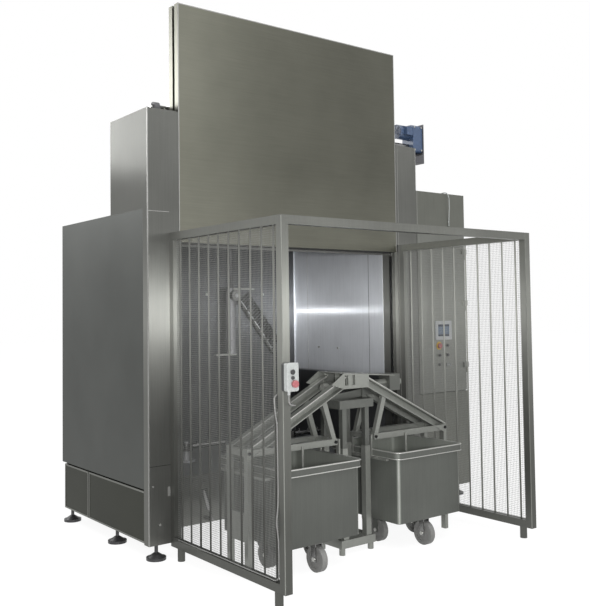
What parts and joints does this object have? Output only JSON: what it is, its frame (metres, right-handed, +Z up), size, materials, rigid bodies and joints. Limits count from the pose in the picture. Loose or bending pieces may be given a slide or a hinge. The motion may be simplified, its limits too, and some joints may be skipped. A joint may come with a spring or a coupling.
{
  "type": "cabinet parts washer",
  "caption": "Stainless-steel cabinet washer for wheeled bins, with a lift-up door, a barred safety cage, a rocking bin loader and a control cabinet.",
  "frame": {"origin": "on the floor, under the centre of the machine's box", "axes": "+Z up, the doorway and the cage face -Y, the control cabinet is at +X"},
  "size_m": [3.116, 2.7298, 3.695],
  "materials": {
    "stainless": "brushed",
    "stainless_dark": "brushed",
    "lining": "satin",
    "chain_steel": "oiled",
    "polished": "polished",
    "blue_paint": "satin",
    "dark_paint": "satin",
    "bearing_iron": "cast",
    "black_rubber": "matt",
    "wheel": "matt",
    "black_plastic": "matt",
    "screen": "gloss",
    "red_plastic": "gloss",
    "white_plastic": "satin",
    "grey_cable": "matt"
  },
  "bodies": {
    "machine": {"base_frame": "stainless", "plinth_panels": "stainless", "towers": "stainless", "header_beam": "stainless", "sill": "stainless", "chamber_floor": "stainless", "wash_tank": "stainless", "back_panel": "stainless", "roof_panel": "stainless", "cage_left": "stainless", "cage_right": "stainless", "cage_top_rail": "stainless", "control_cabinet": "stainless", "mast": "stainless", "side_panels": "stainless_dark", "chamber_walls": "lining", "supply_pipes": "polished", "spray_pipes": "polished", "door_guides": "polished", "door_chains": "chain_steel", "gearmotor": "blue_paint", "wash_pump": "blue_paint", "motor_plate": "dark_paint", "shaft_bearings": "bearing_iron", "levelling_feet": "black_plastic", "pendant_box": "white_plastic", "control_cable": "white_plastic", "pendant_cable": "grey_cable"},
    "door": {"lift_door": "stainless", "door_seal": "black_rubber"},
    "drive_shaft": {"lift_shaft": "polished"},
    "lance": {"spray_lance": "polished"},
    "arm_left": {"spray_arm_left": "polished"},
    "arm_right": {"spray_arm_right": "polished"},
    "carriage": {"carriage": "stainless"},
    "rocker": {"hub": "stainless", "wing_left": "stainless", "wing_right": "stainless"},
    "control_door": {"control_door": "stainless", "touch_screen": "screen"},
    "control_stop": {"control_stop": "red_plastic"},
    "start_button": {"start_button": "black_plastic"},
    "door_button": {"door_button": "black_plastic"},
    "lift_button": {"lift_button": "black_plastic"},
    "key": {"key_switch": "white_plastic"},
    "pendant_up": {"pendant_up": "black_plastic"},
    "pendant_down": {"pendant_down": "black_plastic"},
    "pendant_stop": {"pendant_stop": "red_plastic"},
    "bin_left": {"bin_left": "stainless"},
    "bin_left_side_wheels": {"bin_left_side_wheels": "wheel"},
    "bin_left_front_fork": {"bin_left_front_fork": "polished"},
    "bin_left_front_wheel": {"bin_left_front_wheel": "wheel"},
    "bin_left_rear_fork": {"bin_left_rear_fork": "polished"},
    "bin_left_rear_wheel": {"bin_left_rear_wheel": "wheel"},
    "bin_right": {"bin_right": "stainless"},
    "bin_right_side_wheels": {"bin_right_side_wheels": "wheel"},
    "bin_right_front_fork": {"bin_right_front_fork": "polished"},
    "bin_right_front_wheel": {"bin_right_front_wheel": "wheel"},
    "bin_right_rear_fork": {"bin_right_rear_fork": "polished"},
    "bin_right_rear_wheel": {"bin_right_rear_wheel": "wheel"}
  },
  "joints": [
    {"name": "door_lift", "type": "slide", "parent": "machine", "child": "door", "axis": [0, 0, 1], "range_m": [-1.61, 0], "deforming": ["door_chains"]},
    {"name": "shaft_turn", "type": "hinge", "parent": "machine", "child": "drive_shaft", "pos_m": [-0.2975, 0.104, 3], "axis": [1, 0, 0], "range_deg": [0, 2640]},
    {"name": "lance_swing", "type": "hinge", "parent": "machine", "child": "lance", "pos_m": [-0.2425, 0.874, 1.736], "axis": [0, 1, 0], "range_deg": [-25, 25]},
    {"name": "arm_left_spin", "type": "hinge", "parent": "machine", "child": "arm_left", "pos_m": [-0.8025, 0.739, 0.56], "axis": [0, 0, 1], "continuous": true},
    {"name": "arm_right_spin", "type": "hinge", "parent": "machine", "child": "arm_right", "pos_m": [0.2075, 0.739, 0.56], "axis": [0, 0, 1], "continuous": true},
    {"name": "carriage_lift", "type": "slide", "parent": "machine", "child": "carriage", "axis": [0, 0, 1], "range_m": [0, 0.5]},
    {"name": "rocker_tilt", "type": "hinge", "parent": "carriage", "child": "rocker", "pos_m": [-0.3575, -0.616, 1.09], "axis": [-1, 0, 0], "range_deg": [0, 30]},
    {"name": "bin_left_roll", "type": "slide", "parent": "rocker", "child": "bin_left", "axis": [0, -1, 0], "range_m": [0, 0.4]},
    {"name": "bin_left_side_spin", "type": "hinge", "parent": "bin_left", "child": "bin_left_side_wheels", "pos_m": [-0.8305, -0.616, 0.0805], "axis": [1, 0, 0], "continuous": true},
    {"name": "bin_left_front_swivel", "type": "hinge", "parent": "bin_left", "child": "bin_left_front_fork", "pos_m": [-0.8305, -0.846, 0.18], "axis": [0, 0, 1], "continuous": true},
    {"name": "bin_left_front_spin", "type": "hinge", "parent": "bin_left_front_fork", "child": "bin_left_front_wheel", "pos_m": [-0.8305, -0.881, 0.0805], "axis": [1, 0, 0], "continuous": true},
    {"name": "bin_left_rear_swivel", "type": "hinge", "parent": "bin_left", "child": "bin_left_rear_fork", "pos_m": [-0.8305, -0.386, 0.18], "axis": [0, 0, 1], "continuous": true},
    {"name": "bin_left_rear_spin", "type": "hinge", "parent": "bin_left_rear_fork", "child": "bin_left_rear_wheel", "pos_m": [-0.8305, -0.351, 0.0805], "axis": [1, 0, 0], "continuous": true},
    {"name": "bin_right_roll", "type": "slide", "parent": "rocker", "child": "bin_right", "axis": [0, -1, 0], "range_m": [0, 0.4]},
    {"name": "bin_right_side_spin", "type": "hinge", "parent": "bin_right", "child": "bin_right_side_wheels", "pos_m": [0.1155, -0.616, 0.0805], "axis": [1, 0, 0], "continuous": true},
    {"name": "bin_right_front_swivel", "type": "hinge", "parent": "bin_right", "child": "bin_right_front_fork", "pos_m": [0.1155, -0.846, 0.18], "axis": [0, 0, 1], "continuous": true},
    {"name": "bin_right_front_spin", "type": "hinge", "parent": "bin_right_front_fork", "child": "bin_right_front_wheel", "pos_m": [0.1155, -0.881, 0.0805], "axis": [1, 0, 0], "continuous": true},
    {"name": "bin_right_rear_swivel", "type": "hinge", "parent": "bin_right", "child": "bin_right_rear_fork", "pos_m": [0.1155, -0.386, 0.18], "axis": [0, 0, 1], "continuous": true},
    {"name": "bin_right_rear_spin", "type": "hinge", "parent": "bin_right_rear_fork", "child": "bin_right_rear_wheel", "pos_m": [0.1155, -0.351, 0.0805], "axis": [1, 0, 0], "continuous": true},
    {"name": "control_door_swing", "type": "hinge", "parent": "machine", "child": "control_door", "pos_m": [1.5525, -0.066, 1.585], "axis": [0, 0, 1], "range_deg": [0, 110]},
    {"name": "control_stop_press", "type": "slide", "parent": "control_door", "child": "control_stop", "axis": [0, 1, 0], "range_m": [0, 0.003], "stiffness_N_per_m": 2000},
    {"name": "start_button_press", "type": "slide", "parent": "control_door", "child": "start_button", "axis": [0, 1, 0], "range_m": [0, 0.003], "stiffness_N_per_m": 2000},
    {"name": "door_button_press", "type": "slide", "parent": "control_door", "child": "door_button", "axis": [0, 1, 0], "range_m": [0, 0.003], "stiffness_N_per_m": 2000},
    {"name": "lift_button_press", "type": "slide", "parent": "control_door", "child": "lift_button", "axis": [0, 1, 0], "range_m": [0, 0.003], "stiffness_N_per_m": 2000},
    {"name": "key_turn", "type": "hinge", "parent": "control_door", "child": "key", "pos_m": [1.2975, -0.061, 1.131], "axis": [0, 1, 0], "range_deg": [0, 90]},
    {"name": "pendant_up_press", "type": "slide", "parent": "machine", "child": "pendant_up", "axis": [0, 1, 0], "range_m": [0, 0.003], "stiffness_N_per_m": 2000},
    {"name": "pendant_down_press", "type": "slide", "parent": "machine", "child": "pendant_down", "axis": [0, 1, 0], "range_m": [0, 0.003], "stiffness_N_per_m": 2000},
    {"name": "pendant_stop_press", "type": "slide", "parent": "machine", "child": "pendant_stop", "axis": [0, 1, 0], "range_m": [0, 0.003], "stiffness_N_per_m": 2000}
  ],
  "couplings": [
    {"joint": "shaft_turn", "follows": "door_lift", "rad_per_m": -28.571},
    {"joint": "rocker_tilt", "follows": "carriage_lift", "rad_per_m": 1}
  ]
}
